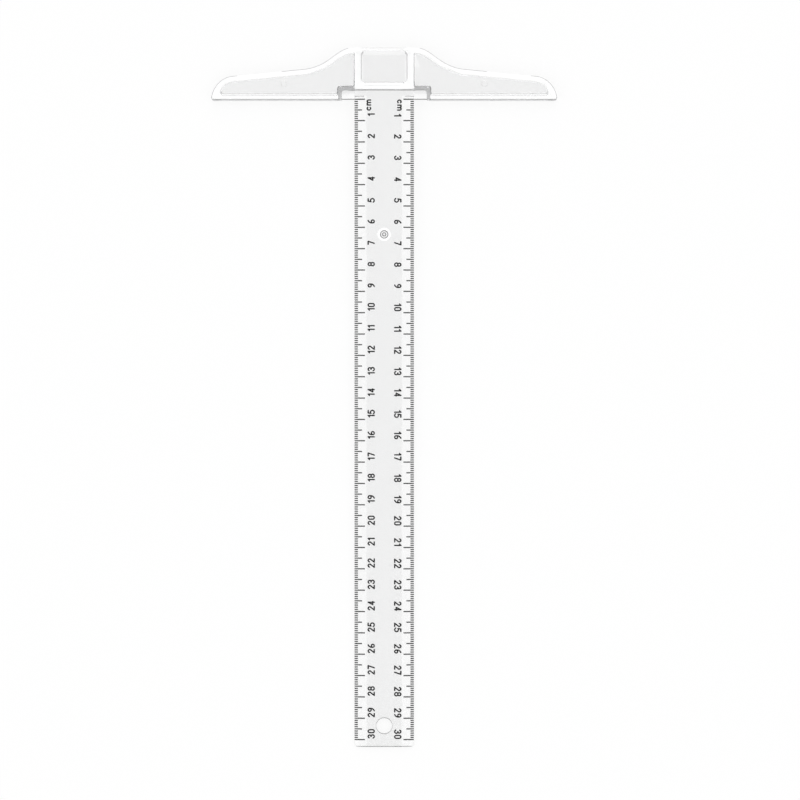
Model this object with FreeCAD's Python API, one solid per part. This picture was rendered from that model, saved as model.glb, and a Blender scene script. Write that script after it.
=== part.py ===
import FreeCAD, Part

import math
import os

from FreeCAD import Vector as V

# T square, 30 cm, clear moulded plastic: a bevelled blade bonded into a hollow-backed head,
# with a black centimetre scale printed along both ruling edges.
#
# Frame (mm): the origin is where the zero line of the scale crosses the blade's centreline,
# on the blade's underside (the face that lies on the paper).
#   +X to the right along the working edge, +Y from the zero line back into the head,
#   -Y along the blade to its free end, +Z up out of the paper.

# ---------------------------------------------------------------- driving dimensions
# blade
BLADE_HALF_W = 13.9          # half the blade's width
BLADE_T = 2.2                # thickness over the flat centre strip
BLADE_EDGE_T = 1.0           # thickness left at the ruling edges
BEVEL_X = 8.05               # the bevels start this far from the centreline
BLADE_END_Y = -303.2         # free end, 3.2 mm past the last division
BLADE_END_R = 1.3            # corner radius in plan at the free end
BEVEL_TOP_Y = 1.1            # the bevels run out this far behind the zero line
TONGUE_END_Y = 22.6          # end of the tongue that is bonded into the head
TONGUE_HALF_W = 13.82        # the tongue is a little narrower than the ruling width
TONGUE_SIDE_Y = -0.4         # it narrows just ahead of the head, so the ruling edges stay whole
TONGUE_LIFT = 0.1            # its underside is stepped up, so the frame never stands proud of the paper face
TONGUE_STEP_Y = 4.1
WING_TOP = 1.4               # top of the head's plate, which the tongue's bevelled margin meets flush
PANEL_HALF_X = 9.6           # flat top panel of the tongue, half width
PANEL_Y0, PANEL_Y1 = 8.4, 20.6
MARGIN_Y0 = 4.9              # where the bevelled margin starts
HANG_Y, HANG_R = -293.4, 3.7
GATE_Y = -63.4               # gate mark: a shallow dimple with the gate's stub in it
GATE_DISH_R, GATE_FLOOR_R, GATE_STUB_R = 3.0, 1.9, 0.85
GATE_DEPTH, GATE_STUB_H = 0.30, 0.16

# head
HEAD_HALF_W = 81.0           # half the head's length along the working edge
HEAD_BACK_Y = 24.2           # back of the middle
SKIRT_DEPTH = 5.0            # how far the walls hang below the paper face
WEB_T = 2.4                  # thickness of the head's plate: it laps past the tongue's underside
RIM_DROP = 0.70              # fall of the bevelled rim on the plate's top
RIM_W = 2.3                  # width of the rim and of the back wall
FRONT_W = 2.8                # width of the rim and of the wall behind the working edge
CHANNEL_GAP = 0.05           # bond gap each side and at the end of the tongue
MOUTH_Y = 0.3                # the channel's mouth is wider down to here
ROOT_HALF_X = 20.0           # relief around the blade's root: half width
ROOT_Y = 4.8                 # and depth behind the working edge
ROOT_WALL = 1.4              # wall thickness behind the relief
ROOT_SIDE = 1.7              # and at its two sides
ROOT_R = 1.2
WINDOW_HALF_X = 10.8         # opening inside the frame under the tongue
WINDOW_Y0, WINDOW_Y1 = 8.4, 22.4
WINDOW_R = 1.6
PAD_X, PAD_Y, PAD_R = 9.6, 23.55, 1.1        # round thickenings of the back wall
WITNESS_X, WITNESS_Y = 47.0, 7.25            # round moulding marks under the plate
WITNESS_R0, WITNESS_R1, WITNESS_DEPTH = 1.25, 1.75, 0.18

# print
INK_T = 0.03                 # the print is stamped this deep into the blade's underside, and fills it flush
INK_EDGE = 0.06              # division lines start this far inside the ruling edges
ZERO_EDGE = 0.18             # the zero line starts a little further in, beside the tongue's narrowing
LINE_W = 0.58                # width of a division line
SCALE_CM = 30
TICK_MM, TICK_HALF, TICK_CM = 1.7, 3.65, 5.05
DIGIT_H, DIGIT_W, STROKE = 3.45, 2.0, 0.64
DIGIT_GAP = 0.42
LEFT_BASE_X, RIGHT_BASE_X = -4.35, 4.6       # baselines of the two rows of numbers
LEFT_LABEL_DY, RIGHT_LABEL_DY = 2.75, 2.5    # label centre, towards the head from its line
UNIT_H = 2.15
UNIT_LEFT_X, UNIT_RIGHT_X = -6.05, 6.0
UNIT_LEFT_Y, UNIT_RIGHT_Y = -5.4, -0.1


def box(x0, x1, y0, y1, z0, z1):
    return Part.makeBox(x1 - x0, y1 - y0, z1 - z0, V(x0, y0, z0))


def prism(wire, dz):
    return Part.Face(wire).extrude(V(0, 0, dz))


def rounded_rect(x0, x1, y0, y1, r, z):
    """Closed wire of a rectangle with four rounded corners."""
    k = r * (1 - math.sqrt(0.5))
    e = [
        Part.makeLine(V(x0 + r, y0, z), V(x1 - r, y0, z)),
        Part.Arc(V(x1 - r, y0, z), V(x1 - k, y0 + k, z), V(x1, y0 + r, z)).toShape(),
        Part.makeLine(V(x1, y0 + r, z), V(x1, y1 - r, z)),
        Part.Arc(V(x1, y1 - r, z), V(x1 - k, y1 - k, z), V(x1 - r, y1, z)).toShape(),
        Part.makeLine(V(x1 - r, y1, z), V(x0 + r, y1, z)),
        Part.Arc(V(x0 + r, y1, z), V(x0 + k, y1 - k, z), V(x0, y1 - r, z)).toShape(),
        Part.makeLine(V(x0, y1 - r, z), V(x0, y0 + r, z)),
        Part.Arc(V(x0, y0 + r, z), V(x0 + k, y0 + k, z), V(x0 + r, y0, z)).toShape(),
    ]
    return Part.Wire(e)


# ---------------------------------------------------------------- blade
def make_blade(prints):
    section = Part.makePolygon([
        V(-BLADE_HALF_W, BLADE_END_Y, 0), V(BLADE_HALF_W, BLADE_END_Y, 0),
        V(BLADE_HALF_W, BLADE_END_Y, BLADE_EDGE_T), V(BEVEL_X, BLADE_END_Y, BLADE_T),
        V(-BEVEL_X, BLADE_END_Y, BLADE_T), V(-BLADE_HALF_W, BLADE_END_Y, BLADE_EDGE_T),
        V(-BLADE_HALF_W, BLADE_END_Y, 0)])
    body = Part.Face(section).extrude(V(0, BEVEL_TOP_Y - BLADE_END_Y, 0))

    tongue = box(-BLADE_HALF_W, BLADE_HALF_W, BEVEL_TOP_Y, TONGUE_END_Y, 0, BLADE_T)
    low = WING_TOP
    w_low = Part.makePolygon([
        V(-BLADE_HALF_W, MARGIN_Y0, low), V(BLADE_HALF_W, MARGIN_Y0, low),
        V(BLADE_HALF_W, TONGUE_END_Y, low), V(-BLADE_HALF_W, TONGUE_END_Y, low),
        V(-BLADE_HALF_W, MARGIN_Y0, low)])
    w_top = Part.makePolygon([
        V(-PANEL_HALF_X, PANEL_Y0, BLADE_T), V(PANEL_HALF_X, PANEL_Y0, BLADE_T),
        V(PANEL_HALF_X, PANEL_Y1, BLADE_T), V(-PANEL_HALF_X, PANEL_Y1, BLADE_T),
        V(-PANEL_HALF_X, PANEL_Y0, BLADE_T)])
    panel = Part.makeLoft([w_low, w_top], True, True)
    margin = box(-BLADE_HALF_W, BLADE_HALF_W, MARGIN_Y0, TONGUE_END_Y, low, BLADE_T).cut(panel)
    tongue = tongue.cut(margin)
    blade = body.fuse(tongue).removeSplitter()

    # rounded corners in plan at the free end
    for s in (-1, 1):
        cx, cy = s * (BLADE_HALF_W - BLADE_END_R), BLADE_END_Y + BLADE_END_R
        corner = box(min(cx, s * BLADE_HALF_W), max(cx, s * BLADE_HALF_W),
                     BLADE_END_Y, cy, -1, BLADE_T + 1)
        corner = corner.cut(Part.makeCylinder(BLADE_END_R, BLADE_T + 4, V(cx, cy, -2)))
        blade = blade.cut(corner)

    blade = blade.cut(Part.makeCylinder(HANG_R, BLADE_T + 2, V(0, HANG_Y, -1)))

    # gate mark
    dish = Part.makeCone(GATE_FLOOR_R, GATE_DISH_R, GATE_DEPTH, V(0, GATE_Y, BLADE_T - GATE_DEPTH))
    stub = Part.makeCylinder(GATE_STUB_R, GATE_STUB_H, V(0, GATE_Y, BLADE_T - GATE_DEPTH))
    blade = blade.cut(dish.cut(stub))

    # the tongue: narrowed at its sides and stepped up underneath
    for s in (-1, 1):
        side = box(min(s * TONGUE_HALF_W, s * 15), max(s * TONGUE_HALF_W, s * 15), TONGUE_SIDE_Y, TONGUE_END_Y + 1, -1, BLADE_T + 1)
        blade = blade.cut(side)
    blade = blade.cut(box(-15, 15, TONGUE_STEP_Y, TONGUE_END_Y + 1, -1, TONGUE_LIFT))

    # the shallow stamped beds that the print fills
    return blade.cut([s for p in prints for s in p.Solids])


# ---------------------------------------------------------------- head
# plan of one wing, from the outer corner of the working edge round to the middle
END_PTS = [(81.0, 0.0), (80.75, 2.0), (79.6, 5.0), (77.4, 7.9), (74.8, 9.75), (71.5, 10.8)]
SLOPE_END = (37.7, 14.1)
SHOULDER_PTS = [SLOPE_END, (34.2, 14.72), (30.6, 15.95), (27.2, 17.75), (24.0, 20.0),
                (21.2, 22.0), (18.4, 23.5), (16.0, 24.1), (TONGUE_HALF_W + CHANNEL_GAP, HEAD_BACK_Y)]


def curve(pts, t0, t1):
    c = Part.BSplineCurve()
    c.interpolate(Points=[V(x, y, 0) for x, y in pts], InitialTangent=V(*t0, 0), FinalTangent=V(*t1, 0))
    return c


SLOPE_DIR = (SLOPE_END[0] - END_PTS[-1][0], SLOPE_END[1] - END_PTS[-1][1])


def unit(t, k):
    n = math.hypot(*t)
    return (t[0] / n * k, t[1] / n * k)


END_CURVE = curve(END_PTS, (0, 17.0), unit(SLOPE_DIR, 17.0))
SHOULDER_CURVE = curve(SHOULDER_PTS, unit(SLOPE_DIR, 27.0), (-27.0, 0))


def inset(c, d, n, keep=lambda x, y: True):
    """Points and end tangents of a curve moved inwards by d."""
    a, b = c.FirstParameter, c.LastParameter
    rows = []
    for i in range(n):
        u = a + (b - a) * i / (n - 1)
        p = c.value(u)
        t = c.tangent(u)[0]
        rows.append((p.x - t.y * d, p.y + t.x * d, t.x, t.y))
    rows = [r for r in rows if keep(r[0], r[1])]
    return rows


def wing_wire(side, z, rim):
    """Closed plan of one wing; rim is how far the outer edges are moved inwards (0 or 1)."""
    x_mid = TONGUE_HALF_W + CHANNEL_GAP
    if not rim:
        end_c, sh_c = END_CURVE, SHOULDER_CURVE
        p_front = (HEAD_HALF_W, 0.0)
        p_slope0, p_slope1 = END_PTS[-1], SLOPE_END
        p_back = (x_mid, HEAD_BACK_Y)
        y_front = 0.0
    else:
        y_front = FRONT_W
        rows = inset(END_CURVE, RIM_W, 60)
        # start where the inset end crosses the inner line of the front rim
        for i in range(1, len(rows)):
            if rows[i][1] >= y_front:
                k = (y_front - rows[i - 1][1]) / (rows[i][1] - rows[i - 1][1])
                first = tuple(rows[i - 1][j] + k * (rows[i][j] - rows[i - 1][j]) for j in range(4))
                rows = [first] + rows[i:]
                break
        pick = [rows[round(j * (len(rows) - 1) / 7)] for j in range(8)]
        end_c = curve([(r[0], r[1]) for r in pick], (pick[0][2] * 14, pick[0][3] * 14), (pick[-1][2] * 14, pick[-1][3] * 14))
        p_front = (pick[0][0], pick[0][1])
        rows = inset(SHOULDER_CURVE, RIM_W, 60)
        pick2 = [rows[round(j * (len(rows) - 1) / 10)] for j in range(11)]
        pick2[-1] = (x_mid, HEAD_BACK_Y - RIM_W, -1, 0)
        sh_c = curve([(r[0], r[1]) for r in pick2], (pick2[0][2] * 24, pick2[0][3] * 24), (-24, 0))
        p_slope0, p_slope1 = (pick[-1][0], pick[-1][1]), (pick2[0][0], pick2[0][1])
        p_back = (x_mid, HEAD_BACK_Y - RIM_W)
    e = [
        Part.makeLine(V(x_mid, y_front, 0), V(p_front[0], p_front[1], 0)),
        end_c.toShape(),
        Part.makeLine(V(p_slope0[0], p_slope0[1], 0), V(p_slope1[0], p_slope1[1], 0)),
        sh_c.toShape(),
        Part.makeLine(V(p_back[0], p_back[1], 0), V(x_mid, y_front, 0)),
    ]
    w = Part.Wire(e)
    if side < 0:
        w = w.mirror(V(0, 0, 0), V(1, 0, 0))
    w.translate(V(0, 0, z))
    return w


def make_head():
    solids = []
    x_mid = TONGUE_HALF_W + CHANNEL_GAP
    web_z = WING_TOP - WEB_T
    for s in (-1, 1):
        solids.append(prism(wing_wire(s, web_z, 0), WEB_T - RIM_DROP))
        solids.append(Part.makeLoft([wing_wire(s, WING_TOP - RIM_DROP, 0), wing_wire(s, WING_TOP, 1)], True, True))
        walls = prism(wing_wire(s, -SKIRT_DEPTH, 0), SKIRT_DEPTH + web_z)
        hollow = prism(wing_wire(s, -SKIRT_DEPTH, 1), SKIRT_DEPTH + web_z)
        # the wall round the blade's root stays solid
        keep = box(x_mid - 0.1, ROOT_HALF_X + ROOT_SIDE, -1, ROOT_Y + ROOT_WALL, -SKIRT_DEPTH, web_z)
        if s < 0:
            keep = keep.mirror(V(0, 0, 0), V(1, 0, 0))
        solids.append(walls.cut(hollow.cut(keep)))
    # the middle: frame under the tongue, and the back wall up to the plate's top
    solids.append(box(-x_mid, x_mid, ROOT_Y - 0.5, HEAD_BACK_Y, -SKIRT_DEPTH, TONGUE_LIFT))
    solids.append(box(-x_mid, x_mid, TONGUE_END_Y + CHANNEL_GAP, HEAD_BACK_Y, -SKIRT_DEPTH, WING_TOP))
    for s in (-1, 1):
        solids.append(Part.makeCylinder(PAD_R, SKIRT_DEPTH + WING_TOP, V(s * PAD_X, PAD_Y, -SKIRT_DEPTH)))
    head = solids[0].multiFuse(solids[1:])
    # the channel stays clear for the tongue
    head = head.cut(box(-x_mid, x_mid, -1, TONGUE_END_Y + CHANNEL_GAP, TONGUE_LIFT, BLADE_T + 1))
    # relief round the blade's root, open to the front and below
    root = Part.Face(rounded_rect(-ROOT_HALF_X, ROOT_HALF_X, -6, ROOT_Y, ROOT_R, -SKIRT_DEPTH - 1)).extrude(V(0, 0, SKIRT_DEPTH + 1 + web_z))
    head = head.cut(root)
    head = head.cut(box(-x_mid, x_mid, -1, ROOT_Y, -SKIRT_DEPTH - 1, 1))
    # the channel's mouth opens to the blade's full width
    mouth = BLADE_HALF_W + CHANNEL_GAP
    head = head.cut(box(-mouth, mouth, -1, MOUTH_Y, -SKIRT_DEPTH - 1, BLADE_T + 1))
    window = Part.Face(rounded_rect(-WINDOW_HALF_X, WINDOW_HALF_X, WINDOW_Y0, WINDOW_Y1, WINDOW_R, -SKIRT_DEPTH - 1)).extrude(V(0, 0, SKIRT_DEPTH + 2))
    head = head.cut(window)
    for s in (-1, 1):
        ring = Part.makeCylinder(WITNESS_R1, WITNESS_DEPTH, V(s * WITNESS_X, WITNESS_Y, web_z))
        ring = ring.cut(Part.makeCylinder(WITNESS_R0, WITNESS_DEPTH, V(s * WITNESS_X, WITNESS_Y, web_z)))
        head = head.cut(ring)
    return head.removeSplitter()


# ---------------------------------------------------------------- print
def stroke_line(a, b, w, cap0=True, cap1=True):
    """A straight pen stroke as a flat face, with a round or a square end at each side."""
    ax, ay = a
    bx, by = b
    n = math.hypot(bx - ax, by - ay)
    ux, uy = (bx - ax) / n, (by - ay) / n
    px, py = -uy * w, ux * w
    a0, a1 = V(ax - px, ay - py, 0), V(ax + px, ay + py, 0)
    b0, b1 = V(bx - px, by - py, 0), V(bx + px, by + py, 0)
    e = [Part.makeLine(a0, b0)]
    e.append(Part.Arc(b0, V(bx + ux * w, by + uy * w, 0), b1).toShape() if cap1 else Part.makeLine(b0, b1))
    e.append(Part.makeLine(b1, a1))
    e.append(Part.Arc(a1, V(ax - ux * w, ay - uy * w, 0), a0).toShape() if cap0 else Part.makeLine(a1, a0))
    return Part.Face(Part.Wire(e))


def stroke_arc(c, r, a0, a1, w, cap0=True, cap1=True):
    """A circular pen stroke from angle a0 to a1 in degrees, with round or square ends."""
    a0, a1 = math.radians(a0), math.radians(a1)
    am = (a0 + a1) / 2
    q = 1 if a1 > a0 else -1

    def at(a, rr):
        return V(c[0] + rr * math.cos(a), c[1] + rr * math.sin(a), 0)

    def cap(a, sign):
        m = at(a, r)
        return V(m.x - math.sin(a) * w * sign, m.y + math.cos(a) * w * sign, 0)

    e = [Part.Arc(at(a0, r + w), at(am, r + w), at(a1, r + w)).toShape()]
    e.append(Part.Arc(at(a1, r + w), cap(a1, q), at(a1, r - w)).toShape() if cap1
             else Part.makeLine(at(a1, r + w), at(a1, r - w)))
    e.append(Part.Arc(at(a1, r - w), at(am, r - w), at(a0, r - w)).toShape())
    e.append(Part.Arc(at(a0, r - w), cap(a0, -q), at(a0, r + w)).toShape() if cap0
             else Part.makeLine(at(a0, r - w), at(a0, r + w)))
    return Part.Face(Part.Wire(e))


def stroke_ring(c, r, w):
    o = Part.Wire([Part.makeCircle(r + w, V(c[0], c[1], 0))])
    i = Part.Wire([Part.makeCircle(r - w, V(c[0], c[1], 0))])
    return Part.Face(o).cut(Part.Face(i)).Faces[0]


def circle_through(a, m, b):
    """Centre, radius and the swept angles of the arc a-m-b."""
    (x1, y1), (x2, y2), (x3, y3) = a, m, b
    d = 2 * (x1 * (y2 - y3) + x2 * (y3 - y1) + x3 * (y1 - y2))
    ux = ((x1**2 + y1**2) * (y2 - y3) + (x2**2 + y2**2) * (y3 - y1) + (x3**2 + y3**2) * (y1 - y2)) / d
    uy = ((x1**2 + y1**2) * (x3 - x2) + (x2**2 + y2**2) * (x1 - x3) + (x3**2 + y3**2) * (x2 - x1)) / d
    r = math.hypot(x1 - ux, y1 - uy)
    angs = [math.degrees(math.atan2(y - uy, x - ux)) for x, y in (a, m, b)]
    a0, am, a1 = angs
    ccw = ((am - a0) % 360) < ((a1 - a0) % 360)
    sweep = (a1 - a0) % 360 if ccw else -((a0 - a1) % 360)
    return (ux, uy), r, a0, a0 + sweep


def glyph(ch):
    """Flat outline of a character and its width; pen strokes of even width."""
    w = STROKE / 2
    h, wd = DIGIT_H, DIGIT_W
    lo, hi = w, h - w
    x0, x1 = w, wd - w
    cx = wd / 2
    r = (wd - STROKE) / 2
    f = []
    width = wd
    if ch == "0":
        f = [stroke_line((x0, lo + r), (x0, hi - r), w, False, False), stroke_line((x1, lo + r), (x1, hi - r), w, False, False),
             stroke_arc((cx, hi - r), r, 0, 180, w, False, False), stroke_arc((cx, lo + r), r, 180, 360, w, False, False)]
    elif ch == "1":
        width = 1.25
        f = [stroke_line((0.93, lo), (0.93, hi), w), stroke_line((0.93, hi), (0.30, hi - 0.55), w)]
    elif ch == "2":
        a = -38.0
        ex, ey = cx + r * math.cos(math.radians(a)), hi - r + r * math.sin(math.radians(a))
        t = (ey - lo) / math.cos(math.radians(a))
        bx = ex + math.sin(math.radians(a)) * t
        f = [stroke_arc((cx, hi - r), r, 172, a, w, True, False), stroke_line((ex, ey), (bx, lo), w, False, True), stroke_line((bx, lo), (x1, lo), w)]
    elif ch == "3":
        ru, rl = 0.685, 0.76
        f = [stroke_arc((cx - 0.05, hi - ru), ru, 155, -90, w), stroke_arc((cx - 0.05, lo + rl), rl, 90, -160, w)]
    elif ch == "4":
        xv = 1.40
        f = [stroke_line((xv, hi), (x0, 1.02), w), stroke_line((x0, 1.02), (x1 + 0.02, 1.02), w), stroke_line((xv, hi), (xv, lo), w)]
    elif ch == "5":
        rb = 0.87
        c = (x1 - rb, lo + rb)
        ax, ay = c[0] + rb * math.cos(math.radians(132)), c[1] + rb * math.sin(math.radians(132))
        f = [stroke_line((0.47, hi), (x1 - 0.1, hi), w), stroke_line((0.47, hi), (ax, ay), w), stroke_arc(c, rb, 132, -152, w)]
    elif ch in "69":
        c, rr, a0, a1 = circle_through((x0 + 0.04, lo + r + 0.12), (0.52, 2.32), (1.42, hi))
        f = [stroke_ring((cx, lo + r), r, w), stroke_arc(c, rr, a0, a1, w)]
    elif ch == "7":
        f = [stroke_line((x0, hi), (x1, hi), w), stroke_line((x1, hi), (0.72, lo), w)]
    elif ch == "8":
        ru, rl = 0.685, 0.76
        f = [stroke_ring((cx, hi - ru), ru, w), stroke_ring((cx, lo + rl), rl, w)]
    elif ch == "c":
        rc = (UNIT_H - STROKE) / 2
        width = 1.95
        f = [stroke_arc((w + rc, w + rc), rc, 48, 312, w)]
    elif ch == "m":
        ra = 0.58
        top = UNIT_H - w
        width = 2 * w + 4 * ra
        f = [stroke_line((w, w), (w, top), w),
             stroke_arc((w + ra, top - ra), ra, 180, 0, w, False, False),
             stroke_line((w + 2 * ra, top - ra), (w + 2 * ra, w), w, False, True),
             stroke_arc((w + 3 * ra, top - ra), ra, 180, 0, w, False, False),
             stroke_line((w + 4 * ra, top - ra), (w + 4 * ra, w), w, False, True)]
    shape = f[0].multiFuse(f[1:]).removeSplitter() if len(f) > 1 else f[0]
    if ch == "9":
        shape = shape.copy()
        shape.rotate(V(wd / 2, h / 2, 0), V(0, 0, 1), 180)
    solid = None
    for face in shape.Faces:
        s = face.extrude(V(0, 0, INK_T))
        solid = s if solid is None else solid.fuse(s)
    return solid, width


GLYPHS = {ch: glyph(ch) for ch in "0123456789cm"}


def label(text, side, base_x, y, centred=True):
    """The solids of a short text lying along the blade. side -1: its tops face -X and it reads
    towards the head; side +1: its tops face +X and it reads towards the free end."""
    total = sum(GLYPHS[c][1] for c in text) + DIGIT_GAP * (len(text) - 1)
    pos = -total / 2 if centred else 0.0
    out = []
    for c in text:
        solid, wd = GLYPHS[c]
        g = solid.copy()
        g.rotate(V(0, 0, 0), V(0, 0, 1), 90 if side < 0 else -90)
        g.translate(V(base_x, y + pos if side < 0 else y - pos, 0))
        out += g.Solids
        pos += wd + DIGIT_GAP
    return out


def make_lines(side):
    """Division lines of one edge, each its own thin bar, from the edge inwards."""
    out = []
    for n in range(SCALE_CM * 10 + 1):
        length = TICK_CM if n % 10 == 0 else TICK_HALF if n % 5 == 0 else TICK_MM
        edge = BLADE_HALF_W - (INK_EDGE if n else ZERO_EDGE)
        inner = BLADE_HALF_W - length
        out.append(box(min(side * edge, side * inner), max(side * edge, side * inner), -n - LINE_W / 2, -n + LINE_W / 2, 0, INK_T))
    return Part.makeCompound(out)


def make_numbers(side):
    out = []
    for n in range(1, SCALE_CM + 1):
        if side < 0:
            out += label(str(n), -1, LEFT_BASE_X, -10.0 * n + LEFT_LABEL_DY)
        else:
            out += label(str(n), 1, RIGHT_BASE_X, -10.0 * n + RIGHT_LABEL_DY)
    return Part.makeCompound(out)


def make_unit(side):
    if side < 0:
        return Part.makeCompound(label("cm", -1, UNIT_LEFT_X, UNIT_LEFT_Y, centred=False))
    return Part.makeCompound(label("cm", 1, UNIT_RIGHT_X, UNIT_RIGHT_Y, centred=False))


prints = {
    "division_lines_left": make_lines(-1),
    "division_lines_right": make_lines(1),
    "numbers_left": make_numbers(-1),
    "numbers_right": make_numbers(1),
    "unit_mark_left": make_unit(-1),
    "unit_mark_right": make_unit(1),
}
parts = {"blade": make_blade(list(prints.values())), "head": make_head(), **prints}

for name, shape in parts.items():
    bb = shape.BoundBox
    ok = shape.isValid() and all(s.isValid() and s.isClosed() for s in shape.Solids)
    print("%-22s solids %3d  volume %9.3f  valid %s  x %.2f..%.2f  y %.2f..%.2f  z %.2f..%.2f" % (
        name, len(shape.Solids), shape.Volume, ok, bb.XMin, bb.XMax, bb.YMin, bb.YMax, bb.ZMin, bb.ZMax))
    shape.exportStep("parts/%s.step" % name)
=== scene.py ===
import math

import bmesh
import bpy
import numpy as np
from mathutils import Matrix, Vector


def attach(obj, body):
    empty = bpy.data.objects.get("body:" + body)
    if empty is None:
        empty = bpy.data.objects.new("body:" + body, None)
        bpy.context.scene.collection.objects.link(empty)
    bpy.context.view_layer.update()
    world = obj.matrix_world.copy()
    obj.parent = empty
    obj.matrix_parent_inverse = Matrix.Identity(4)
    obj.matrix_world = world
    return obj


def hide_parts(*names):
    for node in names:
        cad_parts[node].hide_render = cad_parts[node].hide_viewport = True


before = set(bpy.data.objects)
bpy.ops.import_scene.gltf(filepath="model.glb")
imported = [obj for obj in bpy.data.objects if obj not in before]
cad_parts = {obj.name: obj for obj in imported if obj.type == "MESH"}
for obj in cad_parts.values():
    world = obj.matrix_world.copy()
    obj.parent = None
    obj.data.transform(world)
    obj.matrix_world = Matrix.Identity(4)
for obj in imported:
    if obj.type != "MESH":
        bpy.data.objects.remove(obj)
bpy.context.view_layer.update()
scene = bpy.context.scene

# T square: lengths below are in millimetres in the CAD's own frame, and every mesh is scaled to
# metres when it is finished. Origin: zero line on the blade's centreline, on the blade's underside.
MM = 0.001

BLADE_HALF_W, BLADE_T, EDGE_T, BEVEL_X = 13.9, 2.2, 1.0, 8.05
END_Y, END_R, BEVEL_TOP_Y, TONGUE_END_Y = -303.2, 1.3, 1.1, 22.6
PANEL_X, PANEL_Y0, PANEL_Y1, MARGIN_Y0 = 9.6, 8.4, 20.6, 4.9
HANG_Y, HANG_R, GATE_Y = -293.4, 3.7, -63.4
WING_TOP, WEB_Z, RIM_DROP, SKIRT = 1.4, -1.0, 0.7, 5.0
TONGUE_W, TONGUE_SIDE_Y, TONGUE_STEP_Y, TONGUE_LIFT = 13.82, -0.4, 4.1, 0.1
UNDER_Z = 0.008      # the skin's underside sits a hair above the print's lower face
HEAD_BACK_Y, X_MID = 24.2, 13.87
ROOT_X, ROOT_Y, ROOT_WALL, ROOT_SIDE, ROOT_R = 20.0, 4.8, 1.4, 1.7, 1.2
WIN_X, WIN_Y0, WIN_Y1, WIN_R = 10.8, 8.4, 22.4, 1.6
FRONT_W = 2.8


# ------------------------------------------------------------------ small mesh tools
def new_object(name, verts, faces):
    me = bpy.data.meshes.new(name)
    me.from_pydata([tuple(v) for v in verts], [], faces)
    me.validate()
    ob = bpy.data.objects.new(name, me)
    scene.collection.objects.link(ob)
    return ob


def stack(name, loops, cap_bottom=True, cap_top=True):
    """A closed skin through loops of equal length, each a list of (x, y, z), counterclockwise from above, lowest first."""
    n = len(loops[0])
    verts = [v for lp in loops for v in lp]
    faces = []
    for k in range(len(loops) - 1):
        a, b = k * n, (k + 1) * n
        for i in range(n):
            j = (i + 1) % n
            faces.append((a + i, a + j, b + j, b + i))
    if cap_bottom:
        faces.append(tuple(reversed(range(n))))
    if cap_top:
        faces.append(tuple(range((len(loops) - 1) * n, len(loops) * n)))
    return new_object(name, verts, faces)


def lathe(name, profile, cx, cy, n=96):
    """A closed turned shape: profile is (radius, z) from the bottom up, ends capped."""
    loops = []
    for r, z in profile:
        loops.append([(cx + r * math.cos(2 * math.pi * i / n), cy + r * math.sin(2 * math.pi * i / n), z) for i in range(n)])
    return stack(name, loops)


def boolean(ob, other, how):
    m = ob.modifiers.new("cut", "BOOLEAN")
    m.operation = how
    m.solver = "EXACT"
    m.object = other
    bpy.context.view_layer.update()
    dg = bpy.context.evaluated_depsgraph_get()
    me = bpy.data.meshes.new_from_object(ob.evaluated_get(dg))
    ob.modifiers.clear()
    old = ob.data
    ob.data = me
    bpy.data.meshes.remove(old)
    bpy.data.objects.remove(other)
    return ob


def smooth(ob, angle=32.0):
    """Smooth shading that keeps the flats flat and the creases crisp."""
    bm = bmesh.new()
    bm.from_mesh(ob.data)
    bmesh.ops.remove_doubles(bm, verts=bm.verts, dist=2e-4)
    bmesh.ops.dissolve_degenerate(bm, edges=bm.edges, dist=2e-4)
    bmesh.ops.recalc_face_normals(bm, faces=bm.faces)
    area = {f.index: f.calc_area() for f in bm.faces}
    for f in bm.faces:
        f.smooth = True
    for e in bm.edges:
        if len(e.link_faces) != 2:
            continue
        a = e.calc_face_angle(0.0)
        wide = max(area[f.index] for f in e.link_faces) > 2.0
        e.smooth = not (a > math.radians(angle) or (wide and a > math.radians(1.2)))
    bm.to_mesh(ob.data)
    bm.free()
    return ob


def split(ob, planes):
    """Cut faces along axis-aligned planes so that zones can end there; the shape stays as it is."""
    bm = bmesh.new()
    bm.from_mesh(ob.data)
    for axis, at in planes:
        co, no = Vector((0, 0, 0)), Vector((0, 0, 0))
        co[axis], no[axis] = at, 1
        bmesh.ops.bisect_plane(bm, geom=bm.verts[:] + bm.edges[:] + bm.faces[:], dist=1e-5, plane_co=co, plane_no=no)
    bm.to_mesh(ob.data)
    bm.free()
    return ob


def zones(ob, rule):
    """Give each face its material slot: rule(x, y, z, nx, ny, nz) -> 0 clear, 1 wall with painted shade, 2 foot with
    painted glow (each piece lists its own slots).
    """
    for f in ob.data.polygons:
        c, n = f.center, f.normal
        f.material_index = rule(c.x, c.y, c.z, n.x, n.y, n.z)
    return ob


def to_metres(ob):
    # every face looks outwards: the plastic refracts the right way round
    bm = bmesh.new()
    bm.from_mesh(ob.data)
    if bm.calc_volume(signed=True) < 0:
        bmesh.ops.reverse_faces(bm, faces=bm.faces)
        bm.to_mesh(ob.data)
    bm.free()
    ob.data.transform(Matrix.Scale(MM, 4))
    ob.data.update()
    return ob


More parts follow.
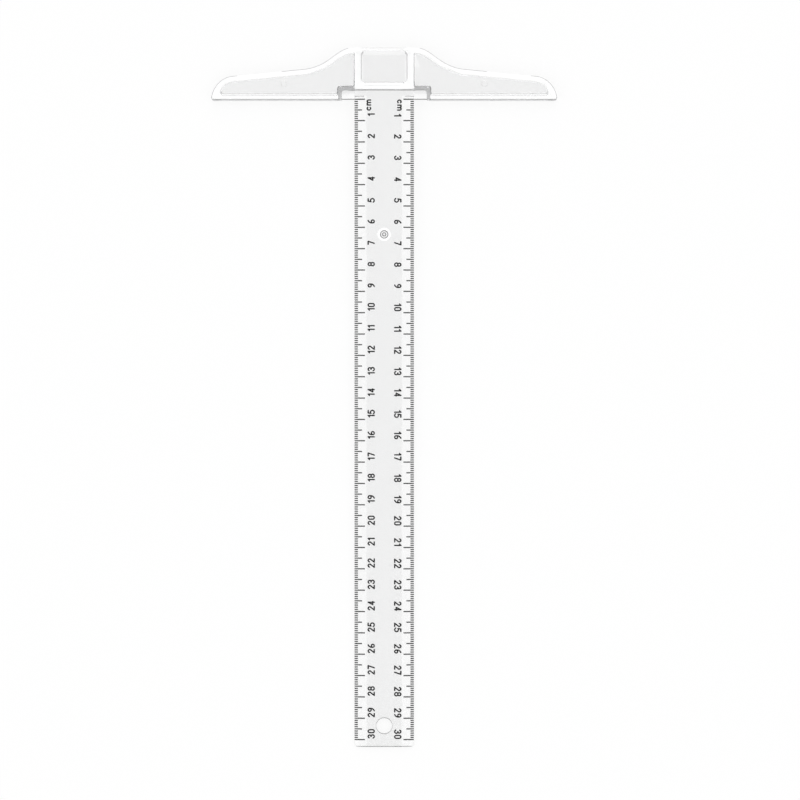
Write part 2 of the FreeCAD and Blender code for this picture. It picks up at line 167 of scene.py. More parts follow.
def curve_points(pts, t0, t1, n):
    """n points of a smooth curve through pts, with unit end directions t0 and t1 (clamped cubic, by chord length)."""
    p = np.array(pts, float)
    s = np.concatenate([[0], np.cumsum(np.linalg.norm(np.diff(p, axis=0), axis=1))])
    k = len(p)
    a = np.zeros((k, k))
    b = np.zeros((k, 2))
    a[0, 0] = a[-1, -1] = 1
    b[0], b[-1] = t0, t1
    for i in range(1, k - 1):
        h0, h1 = s[i] - s[i - 1], s[i + 1] - s[i]
        a[i, i - 1], a[i, i], a[i, i + 1] = h1, 2 * (h0 + h1), h0
        b[i] = 3 * (h1 * (p[i] - p[i - 1]) / h0 + h0 * (p[i + 1] - p[i]) / h1)
    m = np.linalg.solve(a, b)
    out = []
    for u in np.linspace(0, s[-1], n):
        i = min(max(np.searchsorted(s, u, side="right") - 1, 0), k - 2)
        h = s[i + 1] - s[i]
        t = (u - s[i]) / h
        out.append(((1 + 2 * t) * (1 - t) ** 2) * p[i] + t * (1 - t) ** 2 * h * m[i] + t * t * (3 - 2 * t) * p[i + 1] + t * t * (t - 1) * h * m[i + 1])
    return [tuple(q) for q in out]


def line_points(a, b, n):
    """n points from a towards b, both ends included."""
    return [(a[0] + (b[0] - a[0]) * i / (n - 1), a[1] + (b[1] - a[1]) * i / (n - 1)) for i in range(n)]


def arc_points(cx, cy, r, a0, a1, n):
    return [(cx + r * math.cos(math.radians(a0 + (a1 - a0) * i / (n - 1))), cy + r * math.sin(math.radians(a0 + (a1 - a0) * i / (n - 1)))) for i in range(n)]


def round_corners(pts, radii, n=7):
    """A closed polygon with each corner of radius > 0 turned into an arc."""
    out = []
    k = len(pts)
    for i in range(k):
        p, r = np.array(pts[i], float), radii[i]
        if r <= 0:
            out.append(tuple(p))
            continue
        a, b = np.array(pts[i - 1], float), np.array(pts[(i + 1) % k], float)
        u, v = (a - p) / np.linalg.norm(a - p), (b - p) / np.linalg.norm(b - p)
        half = math.acos(max(-1, min(1, float(u @ v)))) / 2
        d = r / math.tan(half)
        c = p + (u + v) / np.linalg.norm(u + v) * (r / math.sin(half))
        s, e = p + u * d - c, p + v * d - c
        a0, a1 = math.atan2(s[1], s[0]), math.atan2(e[1], e[0])
        da = (a1 - a0 + math.pi) % (2 * math.pi) - math.pi
        for j in range(n):
            t = a0 + da * j / (n - 1)
            out.append((float(c[0] + r * math.cos(t)), float(c[1] + r * math.sin(t))))
    return out


def offset_loop(pts, d):
    """A counterclockwise loop moved outwards by d (inwards if negative), corner by corner."""
    p = np.array(pts, float)
    t = np.roll(p, -1, 0) - p
    t /= np.linalg.norm(t, axis=1)[:, None]
    nrm = np.stack([t[:, 1], -t[:, 0]], 1)
    prev = np.roll(nrm, 1, 0)
    mid = nrm + prev
    mid /= np.linalg.norm(mid, axis=1)[:, None]
    scale = 1 / np.maximum((mid * nrm).sum(1), 0.4)
    q = p + mid * (d * scale)[:, None]
    return [tuple(x) for x in q]


def at_z(loop, z):
    return [(x, y, z) for x, y in loop]


def mirrored(loop):
    return [(-x, y) for x, y in reversed(loop)]


# ------------------------------------------------------------------ blade
def section(w, xb, top, edge, inset=0.0, base=UNDER_Z):
    """Cross-section loop (x, z) of the blade: half width w, bevel from (xb, top) to (w, edge), with small edge radii."""
    rb, rt = 0.16, 0.20
    w, top, z0 = w - inset, top - inset, inset + base
    xb = min(xb, w - 0.9)
    slope = math.atan2(top - (edge - inset), w - xb)
    edge = edge - inset
    right = [(0.0, z0), (xb * 0.5, z0), (xb, z0), ((xb + w - rb) / 2, z0), (w - rb, z0)]
    for i in range(1, 4):
        a = math.radians(-90 + 30 * i)
        right.append((w - rb + rb * math.cos(a), z0 + rb + rb * math.sin(a)))
    # upper edge radius between the side and the bevel
    turn = math.pi / 2 - slope
    setback = rt * math.tan(turn / 2)
    cx, cz = w - rt, edge - setback
    right.append((w, (z0 + rb + cz) / 2))
    for i in range(0, 4):
        a = turn * i / 3
        right.append((cx + rt * math.cos(a), cz + rt * math.sin(a)))
    # crease where the bevel meets the flat, slightly rounded
    s = 0.28
    bx, bz = xb + s * math.cos(slope), top - s * math.sin(slope)
    ax, az = right[-1]
    for k in (0.33, 0.66):
        right.append((ax + (bx - ax) * k, az + (bz - az) * k))
    right.append((bx, bz))
    right.append((xb + 0.02 * math.cos(slope), top - 0.02 * math.sin(slope) - 0.012 * math.sin(slope) * 5))
    right.append((xb - s, top))
    right.append((xb * 0.5, top))
    left = [(-x, z) for x, z in reversed(right[1:])]
    return right + [(0.0, top)] + left


def make_blade():
    stations = []

    def add(y, *a, **k):
        stations.append([(x, y, z) for x, z in section(*a, **k)])

    fall = (BLADE_T - EDGE_T) / (BLADE_HALF_W - BEVEL_X)

    def main(y, w=BLADE_HALF_W, inset=0.0):
        add(y, w, BEVEL_X, BLADE_T, BLADE_T - (w - BEVEL_X) * fall, inset=inset)

    # free end: rounded in plan, and its own edges rounded
    r = 0.16
    for i in range(0, 4):
        a = math.radians(30 * i)
        y = END_Y + r * (1 - math.sin(a))
        w = BLADE_HALF_W - END_R + math.sqrt(max(END_R ** 2 - (END_Y + END_R - y) ** 2, 0))
        main(y, w, inset=r * (1 - math.cos(a)))
    for i in range(1, 9):
        a = math.radians(90 * i / 8)
        y = END_Y + END_R * (1 - math.cos(a))
        if y <= END_Y + r + 0.02:
            continue
        w = BLADE_HALF_W - END_R + math.sqrt(max(END_R ** 2 - (END_Y + END_R - y) ** 2, 0))
        main(y, w)
    for y in list(np.linspace(END_Y + 4, -2.0, 62)) + [TONGUE_SIDE_Y - 0.02]:
        main(float(y))
    full, tw, up = BLADE_T, TONGUE_W, TONGUE_LIFT
    main(TONGUE_SIDE_Y + 0.06, tw)
    main(BEVEL_TOP_Y - 0.05, tw)
    add(BEVEL_TOP_Y + 0.30, tw, BEVEL_X, full, full - 0.02)
    add(BEVEL_TOP_Y + 0.60, tw, BEVEL_X, full, full - 0.01)
    add(TONGUE_STEP_Y - 0.02, tw, BEVEL_X, full, full - 0.01)
    add(TONGUE_STEP_Y + 0.04, tw, BEVEL_X, full, full - 0.01, base=up)
    add(MARGIN_Y0 - 0.10, tw, BEVEL_X, full, full - 0.01, base=up)
    add(MARGIN_Y0 - 0.02, tw, BEVEL_X, full - 0.06, full - 0.07, base=up)
    add(MARGIN_Y0, tw, tw - 1.0, WING_TOP, WING_TOP - 0.01, base=up)
    add(MARGIN_Y0 + 0.12, tw, tw - 1.05, WING_TOP + 0.02, WING_TOP - 0.01, base=up)
    for k in (0.25, 0.5, 0.75, 0.96):
        add(MARGIN_Y0 + (PANEL_Y0 - MARGIN_Y0) * k, tw, tw - 1.0 + (PANEL_X - tw + 1.0) * k, WING_TOP + (BLADE_T - WING_TOP) * k, WING_TOP, base=up)
    for y in (PANEL_Y0 + 0.2, 11.0, 14.0, 17.0, 20.0, PANEL_Y1 - 0.1):
        add(y, tw, PANEL_X, BLADE_T, WING_TOP, base=up)
    for k in (0.04, 0.25, 0.5, 0.75, 0.95):
        add(PANEL_Y1 + (TONGUE_END_Y - PANEL_Y1) * k, tw, PANEL_X + (tw - 1.0 - PANEL_X) * k, BLADE_T - (BLADE_T - WING_TOP) * k, WING_TOP, base=up)
    add(TONGUE_END_Y, tw, tw - 1.0, WING_TOP, WING_TOP - 0.02, inset=0.06, base=up)
    # stack() wants loops seen from above to run counterclockwise; here the loops stand across Y
    n = len(stations[0])
    verts = [v for s in stations for v in s]
    faces = []
    for k in range(len(stations) - 1):
        a, b = k * n, (k + 1) * n
        for i in range(n):
            j = (i + 1) % n
            faces.append((a + i, b + i, b + j, a + j))
    faces.append(tuple(range(n)))
    faces.append(tuple(reversed(range((len(stations) - 1) * n, len(stations) * n))))
    ob = new_object("blade_moulding", verts, faces)
    bm = bmesh.new()
    bm.from_mesh(ob.data)
    bmesh.ops.recalc_face_normals(bm, faces=bm.faces)
    bm.to_mesh(ob.data)
    bm.free()

    # hanging hole with softened rims
    rr = 0.36
    prof = [(HANG_R + rr + 0.6, -0.6), (HANG_R + rr + 0.0, -0.001)]
    prof += [(HANG_R + rr * (1 - math.sin(math.radians(a))), rr * (1 - math.cos(math.radians(a)))) for a in (18, 36, 54, 72)]
    prof += [(HANG_R, rr), (HANG_R, BLADE_T - rr)]
    prof += [(HANG_R + rr * (1 - math.sin(math.radians(a))), BLADE_T - rr * (1 - math.cos(math.radians(a)))) for a in (72, 54, 36, 18)]
    prof += [(HANG_R + rr, BLADE_T + 0.001), (HANG_R + rr + 0.6, BLADE_T + 0.6)]
    ob = boolean(ob, lathe("hole_tool", prof, 0, HANG_Y, 112), "DIFFERENCE")

    # gate mark: a shallow dish, a flat floor, and the trimmed stub of the gate standing in it
    g = BLADE_T
    floor_z = g - 0.30
    low = floor_z - 0.14
    prof = [(0.30, g - 0.150), (0.52, g - 0.160), (0.62, g - 0.21), (0.88, low + 0.02), (0.96, low), (1.46, low), (1.54, low + 0.02), (1.80, floor_z - 0.01), (1.98, floor_z + 0.05), (2.50, g - 0.15), (2.85, g - 0.06), (3.05, g - 0.012), (3.15, g + 0.004), (3.3, g + 0.4)]
    # turned as a tool: from the axis outwards along the dish, then capped above the blade
    n = 96
    loops = []
    for rad, z in prof:
        loops.append([(rad * math.cos(2 * math.pi * i / n), GATE_Y + rad * math.sin(2 * math.pi * i / n), z) for i in range(n)])
    tool = stack("gate_tool", loops)
    bm = bmesh.new()
    bm.from_mesh(tool.data)
    bmesh.ops.recalc_face_normals(bm, faces=bm.faces)
    bm.to_mesh(tool.data)
    bm.free()
    ob = boolean(ob, tool, "DIFFERENCE")
    for m in BLADE_SLOTS:
        ob.data.materials.append(m)

    def rule(x, y, z, nx, ny, nz):
        hole = math.hypot(x, y - HANG_Y)
        # hang hole wall: near-black painted shade on the upper arc, grey painted shade on the rest
        if hole < HANG_R + rr + 0.02 and abs(nz) < 0.985:
            return 2 if y > HANG_Y + 1.2 else 1
        g = math.hypot(x, y - GATE_Y)
        # slopes of the gate mark: near-black painted shade rings
        if (0.50 < g < 0.98 or 1.50 < g < 2.00) and z > 1.0 and abs(nz) < 0.975:
            return 2
        # ring round the gate mark: painted highlight, from the glowing slot
        if 2.00 < g < 3.3 and z > 1.0 and abs(nz) < 0.9995:
            return 3
        # free end: near-black painted shade on the edge radius, grey painted shade on the rounded end's sides
        if y < END_Y + 0.17 and abs(nz) < 0.985:
            return 2
        if y < END_Y + END_R and abs(nz) < 0.6:
            return 1
        return 0

    return to_metres(zones(smooth(ob), rule))


# ------------------------------------------------------------------ head
END_OUT = [(81.0, 0.6), (80.78, 2.0), (79.6, 5.0), (77.4, 7.9), (74.8, 9.75), (71.5, 10.8)]
SLOPE_OUT = (37.7, 14.1)
SHOULDER_OUT = [SLOPE_OUT, (34.2, 14.72), (30.6, 15.95), (27.2, 17.75), (24.0, 20.0), (21.2, 22.0), (18.4, 23.5), (16.0, 24.1), (X_MID, HEAD_BACK_Y)]
END_IN = [(76.9, 3.8), (76.35, 5.2), (75.1, 6.7), (73.2, 7.8), (71.1, 8.42)]
SLOPE_IN = (37.4, 11.8)
SHOULDER_IN = [SLOPE_IN, (33.6, 12.72), (30.2, 13.9), (26.6, 15.55), (23.0, 17.9), (20.2, 19.95), (17.6, 21.25), (15.6, 21.7), (X_MID, 21.8)]


def unit(a, b):
    d = (b[0] - a[0], b[1] - a[1])
    k = math.hypot(*d)
    return (d[0] / k, d[1] / k)


def half_outline(inner):
    """Right half of the head's plan from the middle of the front to the middle of the back."""
    if inner:
        end, slope, sh, y0, r, yb = END_IN, SLOPE_IN, SHOULDER_IN, FRONT_W, 1.0, HEAD_BACK_Y - 1.5
    else:
        end, slope, sh, y0, r, yb = END_OUT, SLOPE_OUT, SHOULDER_OUT, 0.0, 0.6, HEAD_BACK_Y
    cx = end[0][0] - r
    d = unit(end[-1], slope)
    pts = line_points((0.0, y0), (cx, y0), 30)
    pts += arc_points(cx, y0 + r, r, -90, 0, 7)[1:]
    pts += curve_points(end, (0, 1), d, 34)[1:]
    pts += line_points(end[-1], slope, 14)[1:]
    pts += curve_points(sh, d, (-1, 0), 54)[1:]
    back = line_points((sh[-1][0], sh[-1][1]), (0.0, sh[-1][1]), 8)[1:]
    if inner:  # the rim narrows to the back wall's thickness across the middle
        back = [(x, yb) for x, _ in back]
    pts += back
    return pts


def full_outline(inner):
    right = half_outline(inner)
    left = [(-x, y) for x, y in reversed(right[1:-1])]
    return right + left


OUTER = full_outline(False)
INNER = full_outline(True)


def between(k):
    return [(a[0] + (b[0] - a[0]) * k, a[1] + (b[1] - a[1]) * k) for a, b in zip(OUTER, INNER)]


def make_head():
    # outer body: foot radius, side, top edge radius, then the rim crowning up to the flat
    loops = []
    rf, rt = 0.25, 0.30
    for a in (0, 30, 60, 90):
        o = rf * (1 - math.sin(math.radians(a)))
        loops.append(at_z(offset_loop(OUTER, -o), -SKIRT + rf * (1 - math.cos(math.radians(a)))))
    for z in (-SKIRT + rf + 0.08, -3.4, -1.8, -0.3, WING_TOP - RIM_DROP - rt - 0.08):
        loops.append(at_z(OUTER, z))
    z_edge = WING_TOP - RIM_DROP
    for a in (0, 25, 50, 72):
        o = rt * (1 - math.cos(math.radians(a)))
        loops.append(at_z(offset_loop(OUTER, -o), z_edge - rt + rt * math.sin(math.radians(a))))
    for k in (0.20, 0.38, 0.55, 0.72, 0.87, 1.0):
        z = WING_TOP - RIM_DROP * (1 - k) ** 1.12
        loops.append(at_z(between(k), z))
    head = stack("head_moulding", loops)

    # round thickenings of the back wall
    for s in (-1, 1):
        pad = lathe("pad", [(0.95, -1.2), (1.05, -1.05), (1.05, WING_TOP - 0.85), (0.95, WING_TOP - 0.7), (0.7, WING_TOP - 0.62)], s * 9.6, 23.6, 48)
        head = boolean(head, pad, "UNION")

    # hollows under the wings
    inner_half = half_outline(True)
    i0 = next(i for i, p in enumerate(inner_half) if p[0] > ROOT_X + ROOT_SIDE + 1.0)
    i1 = max(i for i, p in enumerate(inner_half) if p[0] >= X_MID - 1e-6 and p[1] > 12)
    run = inner_half[i0:i1 + 1]
    corner = round_corners([(X_MID, 21.8), (X_MID, ROOT_Y + ROOT_WALL), (ROOT_X + ROOT_SIDE, ROOT_Y + ROOT_WALL), (ROOT_X + ROOT_SIDE, FRONT_W), (run[0][0], FRONT_W)], [0, 0.9, 0.9, 0.9, 0])[1:-1]
    poly = run + corner
    for s in (-1, 1):
        lp = poly if s > 0 else mirrored(poly)
        levels = [at_z(offset_loop(lp, 0.30), -SKIRT - 0.5), at_z(offset_loop(lp, 0.25), -SKIRT)]
        for a in (30, 60):
            levels.append(at_z(offset_loop(lp, 0.25 * (1 - math.sin(math.radians(a)))), -SKIRT + 0.25 * (1 - math.cos(math.radians(a)))))
        levels.append(at_z(lp, -SKIRT + 0.25))
        rc = 0.5
        levels.append(at_z(lp, -SKIRT + 0.35))
        levels.append(at_z(lp, WEB_Z - rc - 0.1))
        for a in (0, 22, 45, 68, 90):
            levels.append(at_z(offset_loop(lp, -rc * (1 - math.cos(math.radians(a)))), WEB_Z - rc + rc * math.sin(math.radians(a))))
        tool = stack("hollow_tool", levels)
        head = boolean(head, tool, "DIFFERENCE")

    # relief round the blade's root, below the plate
    rect = round_corners([(ROOT_X, -4.0), (ROOT_X, ROOT_Y), (-ROOT_X, ROOT_Y), (-ROOT_X, -4.0)], [0, ROOT_R, ROOT_R, 0])
    levels = [at_z(rect, -SKIRT - 0.5), at_z(rect, WEB_Z)]
    head = boolean(head, stack("relief_tool", levels), "DIFFERENCE")
    # the channel for the tongue, with a hair's breadth of bond under it
    rect = [(X_MID, -4.0), (X_MID, TONGUE_END_Y + 0.05), (-X_MID, TONGUE_END_Y + 0.05), (-X_MID, -4.0)]
    head = boolean(head, stack("channel_tool", [at_z(rect, TONGUE_LIFT - 0.02), at_z(rect, 4.0)]), "DIFFERENCE")
    rect = [(X_MID, -4.0), (X_MID, ROOT_Y), (-X_MID, ROOT_Y), (-X_MID, -4.0)]
    head = boolean(head, stack("front_tool", [at_z(rect, -SKIRT - 0.4), at_z(rect, 0.5)]), "DIFFERENCE")
    # the channel's mouth opens to the blade's full width
    rect = [(13.95, -4.5), (13.95, 0.3), (-13.95, 0.3), (-13.95, -4.5)]
    head = boolean(head, stack("mouth_tool", [at_z(rect, -SKIRT - 0.3), at_z(rect, 3.5)]), "DIFFERENCE")
    # opening inside the frame
    def rr(x, y0, y1, r):
        return round_corners([(x, y0), (x, y1), (-x, y1), (-x, y0)], [r] * 4, 9)
    foot = rr(WIN_X - 1.0, WIN_Y0 - 0.35, WIN_Y1 + 0.45, WIN_R)
    levels = [at_z(foot, -SKIRT - 0.5), at_z(foot, -SKIRT + 0.6), at_z(rr(WIN_X - 0.08, WIN_Y0 - 0.02, WIN_Y1, WIN_R), -1.0), at_z(rr(WIN_X, WIN_Y0, WIN_Y1, WIN_R), -0.5), at_z(rr(WIN_X, WIN_Y0, WIN_Y1, WIN_R), 0.6)]
    head = boolean(head, stack("window_tool", levels), "DIFFERENCE")
    # round moulding marks under the plate
    for s in (-1, 1):
        ring = lathe("mark_tool", [(1.72, WEB_Z - 0.3), (1.75, WEB_Z - 0.001), (1.66, WEB_Z + 0.07), (1.58, WEB_Z + 0.08)], s * 47.0, 7.25, 64)
        core = lathe("mark_core", [(1.23, WEB_Z - 0.6), (1.25, WEB_Z - 0.001), (1.33, WEB_Z + 0.07), (1.36, WEB_Z + 0.4)], s * 47.0, 7.25, 64)
        ring = boolean(ring, core, "DIFFERENCE")
        head = boolean(head, ring, "DIFFERENCE")
    for m in HEAD_SLOTS:
        head.data.materials.append(m)

    # cuts along which the painted shade and glow zones below end
    split(head, [(0, v) for v in (-ROOT_X - ROOT_SIDE, -ROOT_X, -X_MID - 0.08, -X_MID + 0.1, -9.4, 9.4, X_MID - 0.1, X_MID + 0.08, ROOT_X, ROOT_X + ROOT_SIDE)] + [(1, v) for v in (0.9, ROOT_Y + ROOT_WALL - 0.15, 6.38, 6.60, WIN_Y0 - 0.42)])
    z_edge = WING_TOP - RIM_DROP

    def rule(x, y, z, nx, ny, nz):
        ax = abs(x)
        # window walls: pale painted shade on the walls across x, grey painted shade on the rounded corners
        if ax < WIN_X + 0.05 and WIN_Y0 - 0.6 < y < WIN_Y1 + 0.6 and -SKIRT + 0.05 < z < 0.05 and abs(nz) < 0.9:
            if abs(nx) > 0.97:
                return 4
            if abs(nx) > 0.2:
                return 1
        # two strips on the floor of the channel under the tongue: grey and pale painted shade lines
        if ax < 9.4 and abs(z - TONGUE_LIFT) < 0.05 and nz > 0.9:
            if WIN_Y0 - 0.42 < y < WIN_Y0:
                return 1
            if 6.38 < y < 6.60:
                return 4
        # relief walls round the blade's root: grey painted shade
        if ax < ROOT_X + 0.02 and ROOT_Y - ROOT_R - 0.05 < y < ROOT_Y + 0.05 and z < 0.05 and abs(nz) < 0.6:
            return 1
        # pocket walls beside the channel: grey painted shade
        wall = X_MID < ax < ROOT_X + ROOT_SIDE + 0.02 and 0.9 < y < ROOT_Y + ROOT_WALL - 0.1
        if wall and z < WEB_Z - 0.02 and ny < 0.5 and nx * x < 0.5 * ax:
            return 1
        # underside of the feet: painted glow
        if z < -SKIRT + 0.01 and nz < -0.5:
            return 2
        # front face: near-black painted shade line along the top and beside the channel, grey painted shade at the
        # foot, pale painted shade on the rest of the outer wings
        if y < 0.35 and ax > X_MID and abs(nz) < 0.97:
            if z > z_edge - 0.35 or ax < ROOT_X:
                return 3
            if ax > ROOT_X + ROOT_SIDE:
                return 1 if z < -SKIRT + 0.35 else 4
        # top edge radius of the rim on the ends and shoulders: near-black painted shade line
        if z_edge - 0.28 < z < z_edge + 0.02 and 0.15 < nz < 0.98 and (ax > 69.5 and y > 0.5 or 17 < ax < 47 and y > 10):
            return 3
        return 0

    return to_metres(zones(smooth(head), rule))


# ------------------------------------------------------------------ materials
def node(nt, kind, x, y, **inputs):
    n = nt.nodes.new(kind)
    n.location = (x, y)
    for k, v in inputs.items():
        n.inputs[k].default_value = v
    return n


def clear_plastic(name="clear_polystyrene", glow=0.0):
    """Clear moulded polystyrene: polished, with faint flow waviness, fine handling scratches and uneven polish.
    With glow set, the surface also gets a faint white emission: painted light that makes the feet glow as if the walls
    piped light down to them."""
    m = bpy.data.materials.new(name)
    m.use_nodes = True
    nt = m.node_tree
    nt.nodes.clear()
    out = node(nt, "ShaderNodeOutputMaterial", 900, 0)
    p = node(nt, "ShaderNodeBsdfPrincipled", 400, 0)
    p.inputs["Base Color"].default_value = (0.998, 1.0, 1.0, 1)
    p.inputs["IOR"].default_value = 1.585
    p.inputs["Transmission Weight"].default_value = 1.0
    p.inputs["Metallic"].default_value = 0.0
    tc = node(nt, "ShaderNodeTexCoord", -1100, 0)
    # polish: roughness drifts a little over the surface
    n1 = node(nt, "ShaderNodeTexNoise", -800, 200, Scale=38.0, Detail=4.0, Roughness=0.55)
    r1 = node(nt, "ShaderNodeMapRange", -560, 200)
    r1.inputs["From Min"].default_value = 0.35
    r1.inputs["From Max"].default_value = 0.70
    r1.inputs["To Min"].default_value = 0.006
    r1.inputs["To Max"].default_value = 0.028
    nt.links.new(tc.outputs["Object"], n1.inputs["Vector"])
    nt.links.new(n1.outputs["Fac"], r1.inputs["Value"])
    nt.links.new(r1.outputs["Result"], p.inputs["Roughness"])
    # flow waviness of the moulding, and hairline scratches mostly along the blade
    n2 = node(nt, "ShaderNodeTexNoise", -800, -150, Scale=60.0, Detail=2.0, Roughness=0.4)
    nt.links.new(tc.outputs["Object"], n2.inputs["Vector"])
    mp = node(nt, "ShaderNodeMapping", -950, -420)
    mp.inputs["Scale"].default_value = (2600.0, 60.0, 2600.0)
    mp.inputs["Rotation"].default_value = (0.0, 0.0, 0.12)
    n3 = node(nt, "ShaderNodeTexNoise", -750, -420, Scale=1.0, Detail=3.0, Roughness=0.6)
    nt.links.new(tc.outputs["Object"], mp.inputs["Vector"])
    nt.links.new(mp.outputs["Vector"], n3.inputs["Vector"])
    r3 = node(nt, "ShaderNodeMapRange", -540, -420)
    r3.inputs["From Min"].default_value = 0.66
    r3.inputs["From Max"].default_value = 0.74
    nt.links.new(n3.outputs["Fac"], r3.inputs["Value"])
    # painted light: an emission of about glow, varied by the polish noise, so the surface glows though it is no lamp
    if glow:
        gr = node(nt, "ShaderNodeMapRange", -100, 420)
        gr.inputs["To Min"].default_value = glow * 0.9
        gr.inputs["To Max"].default_value = glow * 1.1
        nt.links.new(n1.outputs["Fac"], gr.inputs["Value"])
        nt.links.new(gr.outputs["Result"], p.inputs["Emission Strength"])
        p.inputs["Emission Color"].default_value = (1, 1, 1, 1)
    add = node(nt, "ShaderNodeMath", -330, -260)
    add.operation = "MULTIPLY_ADD"
    add.inputs[1].default_value = -0.08
    nt.links.new(r3.outputs["Result"], add.inputs[0])
    nt.links.new(n2.outputs["Fac"], add.inputs[2])
    b = node(nt, "ShaderNodeBump", -100, -260)
    b.inputs["Strength"].default_value = 0.12
    b.inputs["Distance"].default_value = 0.00012
    nt.links.new(add.outputs["Value"], b.inputs["Height"])
    nt.links.new(b.outputs["Normal"], p.inputs["Normal"])
    nt.links.new(p.outputs["BSDF"], out.inputs["Surface"])
    return m


def painted_shade_wall(name, lo, hi):
    """Painted shade on walls: the same plastic with a grey base colour, mottled between lo and hi, and less
    transmission, so the walls read as darker bands; rough, with a fine bump texture.
    """
    m = bpy.data.materials.new(name)
    m.use_nodes = True
    nt = m.node_tree
    nt.nodes.clear()
    out = node(nt, "ShaderNodeOutputMaterial", 900, 0)
    p = node(nt, "ShaderNodeBsdfPrincipled", 400, 0)
    p.inputs["IOR"].default_value = 1.585
    p.inputs["Transmission Weight"].default_value = 0.72
    tc = node(nt, "ShaderNodeTexCoord", -1000, 0)
    n1 = node(nt, "ShaderNodeTexNoise", -700, 150, Scale=900.0, Detail=3.0, Roughness=0.6)
    nt.links.new(tc.outputs["Object"], n1.inputs["Vector"])
    # painted shade: the grey base colour, from lo to hi, that darkens the wall
    ramp = node(nt, "ShaderNodeValToRGB", -400, 200)
    ramp.color_ramp.elements[0].position = 0.3
    ramp.color_ramp.elements[0].color = (lo, lo, lo * 1.01, 1)
    ramp.color_ramp.elements[1].position = 0.7
    ramp.color_ramp.elements[1].color = (hi, hi, hi * 1.01, 1)
    nt.links.new(n1.outputs["Fac"], ramp.inputs["Fac"])
    nt.links.new(ramp.outputs["Color"], p.inputs["Base Color"])
    r = node(nt, "ShaderNodeMapRange", -400, -60)
    r.inputs["To Min"].default_value = 0.25
    r.inputs["To Max"].default_value = 0.45
    nt.links.new(n1.outputs["Fac"], r.inputs["Value"])
    nt.links.new(r.outputs["Result"], p.inputs["Roughness"])
    n2 = node(nt, "ShaderNodeTexNoise", -700, -300, Scale=2400.0, Detail=2.0, Roughness=0.5)
    nt.links.new(tc.outputs["Object"], n2.inputs["Vector"])
    b = node(nt, "ShaderNodeBump", 100, -260)
    b.inputs["Strength"].default_value = 0.2
    b.inputs["Distance"].default_value = 0.00002
    nt.links.new(n2.outputs["Fac"], b.inputs["Height"])
    nt.links.new(b.outputs["Normal"], p.inputs["Normal"])
    nt.links.new(p.outputs["BSDF"], out.inputs["Surface"])
    return m


def print_ink(name="black_print_ink"):
    """Screen-printed black ink: nearly matt, a little thin and mottled in places."""
    m = bpy.data.materials.new(name)
    m.use_nodes = True
    nt = m.node_tree
    nt.nodes.clear()
    out = node(nt, "ShaderNodeOutputMaterial", 700, 0)
    p = node(nt, "ShaderNodeBsdfPrincipled", 400, 0)
    p.inputs["Specular IOR Level"].default_value = 0.3
    tc = node(nt, "ShaderNodeTexCoord", -900, 0)
    n1 = node(nt, "ShaderNodeTexNoise", -650, 120, Scale=2600.0, Detail=3.0, Roughness=0.6)
    n2 = node(nt, "ShaderNodeTexNoise", -650, -180, Scale=180.0, Detail=2.0, Roughness=0.5)
    nt.links.new(tc.outputs["Object"], n1.inputs["Vector"])
    nt.links.new(tc.outputs["Object"], n2.inputs["Vector"])
    mul = node(nt, "ShaderNodeMath", -430, 60)
    mul.operation = "MULTIPLY"
    nt.links.new(n1.outputs["Fac"], mul.inputs[0])
    nt.links.new(n2.outputs["Fac"], mul.inputs[1])
    ramp = node(nt, "ShaderNodeValToRGB", -220, 60)
    ramp.color_ramp.elements[0].position = 0.10
    ramp.color_ramp.elements[0].color = (0.004, 0.004, 0.005, 1)
    ramp.color_ramp.elements[1].position = 0.55
    ramp.color_ramp.elements[1].color = (0.010, 0.010, 0.011, 1)
    nt.links.new(mul.outputs["Value"], ramp.inputs["Fac"])
    nt.links.new(ramp.outputs["Color"], p.inputs["Base Color"])
    r = node(nt, "ShaderNodeMapRange", -220, -200)
    r.inputs["To Min"].default_value = 0.42
    r.inputs["To Max"].default_value = 0.68
    nt.links.new(n2.outputs["Fac"], r.inputs["Value"])
    nt.links.new(r.outputs["Result"], p.inputs["Roughness"])
    b = node(nt, "ShaderNodeBump", 100, -260)
    b.inputs["Strength"].default_value = 0.25
    b.inputs["Distance"].default_value = 0.00001
    nt.links.new(n1.outputs["Fac"], b.inputs["Height"])
    nt.links.new(b.outputs["Normal"], p.inputs["Normal"])
    nt.links.new(p.outputs["BSDF"], out.inputs["Surface"])
    return m


CLEAR = clear_plastic()
# painted shade in three strengths: grey for walls, near black for edge lines and rims, pale grey for lighter walls
SHADE_WALL = painted_shade_wall("painted_shade_wall", 0.42, 0.56)
EDGE = painted_shade_wall("painted_dark_line", 0.06, 0.13)
PALE_SHADE = painted_shade_wall("painted_pale_shade", 0.66, 0.76)
# painted light: clear plastic with a faint glow, for the head's feet and the ring round the blade's gate mark
PAINTED_GLOW = clear_plastic("clear_painted_glow", glow=0.10)
INK = print_ink()
BLADE_SLOTS = (CLEAR, SHADE_WALL, EDGE, PAINTED_GLOW)
HEAD_SLOTS = (CLEAR, SHADE_WALL, PAINTED_GLOW, EDGE, PALE_SHADE)

blade = make_blade()
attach(blade, "root")
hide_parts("blade")

head = make_head()
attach(head, "root")
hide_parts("head")

for n in ("division_lines_left", "division_lines_right", "numbers_left", "numbers_right", "unit_mark_left", "unit_mark_right"):
    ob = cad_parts[n]
    for s in ob.material_slots:
        s.material = INK
    if not ob.material_slots:
        ob.data.materials.append(INK)

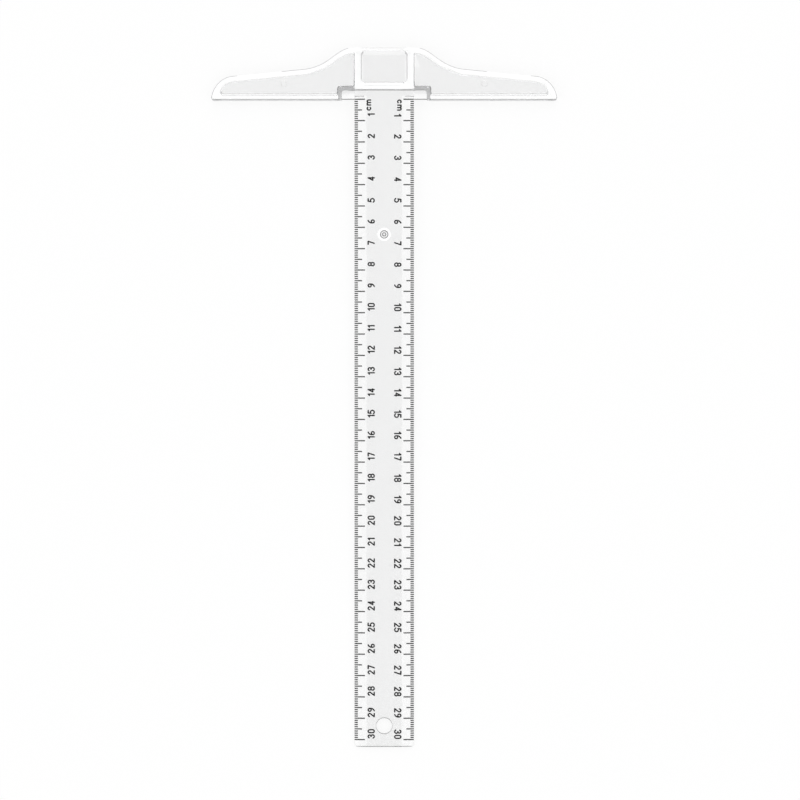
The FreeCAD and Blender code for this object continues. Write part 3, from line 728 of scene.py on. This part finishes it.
# ------------------------------------------------------------------ floor, light, camera
# The square rests on the foot of its head and on the blade's free end, so the floor is tilted to pass through both.
tilt = math.atan2(SKIRT, -END_Y)
floor_me = bpy.data.meshes.new("floor")
S = 3.0
floor_me.from_pydata([(-S, -S, 0), (S, -S, 0), (S, S, 0), (-S, S, 0)], [], [(0, 1, 2, 3)])
floor = bpy.data.objects.new("floor", floor_me)
scene.collection.objects.link(floor)
floor.location = (0, 0, -(SKIRT + 0.1) * MM)
floor.rotation_euler = (-tilt, 0, 0)
fm = bpy.data.materials.new("floor_white")
fm.use_nodes = True
fp = fm.node_tree.nodes["Principled BSDF"]
fp.inputs["Base Color"].default_value = (0.12, 0.12, 0.12, 1)
fp.inputs["Roughness"].default_value = 0.9
fp.inputs["Specular IOR Level"].default_value = 0.0
fp.inputs["Emission Color"].default_value = (1, 1, 1, 1)
fp.inputs["Emission Strength"].default_value = 0.862
floor_me.materials.append(fm)

WORLD_LOW, WORLD_MID, WORLD_TOP = 0.80, 0.96, 0.24
world = bpy.data.worlds.new("studio")
scene.world = world
world.use_nodes = True
wn = world.node_tree
wn.nodes.clear()
wo = node(wn, "ShaderNodeOutputWorld", 600, 0)
bg = node(wn, "ShaderNodeBackground", 300, 0)
bg.inputs["Strength"].default_value = 1.0
# a pale room, with a dark ceiling straight above, where the camera hangs
wt = node(wn, "ShaderNodeTexCoord", -700, 0)
ws = node(wn, "ShaderNodeSeparateXYZ", -500, 0)
wr = node(wn, "ShaderNodeValToRGB", -200, 0)
wn.links.new(wt.outputs["Generated"], ws.inputs["Vector"])
wn.links.new(ws.outputs["Z"], wr.inputs["Fac"])
wr.color_ramp.elements[0].position = 0.0
wr.color_ramp.elements[0].color = (WORLD_LOW, WORLD_LOW, WORLD_LOW, 1)
wr.color_ramp.elements[1].position = 0.985
wr.color_ramp.elements[1].color = (WORLD_TOP, WORLD_TOP, WORLD_TOP, 1)
for pos, v in ((0.10, WORLD_LOW), (0.35, WORLD_MID), (0.945, WORLD_MID)):
    e = wr.color_ramp.elements.new(pos)
    e.color = (v, v, v, 1)
wn.links.new(wr.outputs["Color"], bg.inputs["Color"])
wn.links.new(bg.outputs["Background"], wo.inputs["Surface"])


def area(name, loc, target, w, h, power):
    ld = bpy.data.lights.new(name, "AREA")
    ld.shape = "RECTANGLE"
    ld.size, ld.size_y = w, h
    ld.energy = power
    ob = bpy.data.objects.new(name, ld)
    scene.collection.objects.link(ob)
    ob.location = loc
    d = Vector(target) - Vector(loc)
    ob.rotation_euler = d.to_track_quat("-Z", "Y").to_euler()
    return ob


CX, CY = 0.0074, -0.1409
for name, dx, dy, w, h in (("panel_left", -0.95, 0, 1.6, 0.9), ("panel_right", 0.95, 0, 1.6, 0.9), ("panel_back", 0, 0.95, 0.9, 0.9), ("panel_front", 0, -0.95, 0.9, 0.9)):
    area(name, (CX + dx, CY + dy, 1.25), (CX + dx * 0.25, CY + dy * 0.25, 0), w, h, 2.0)

cam_data = bpy.data.cameras.new("camera")
cam = bpy.data.objects.new("camera", cam_data)
scene.collection.objects.link(cam)
DIST = 1.0
cam.location = (CX, CY, DIST)
cam.rotation_euler = (0, 0, 0)
cam_data.sensor_width = 36.0
cam_data.lens = 36.0 * DIST / 0.37504
cam_data.clip_start = 0.01
cam_data.clip_end = 50
scene.camera = cam

scene.view_settings.view_transform = "Standard"
scene.view_settings.look = "None"
scene.view_settings.exposure = 0.0
scene.view_settings.gamma = 1.0
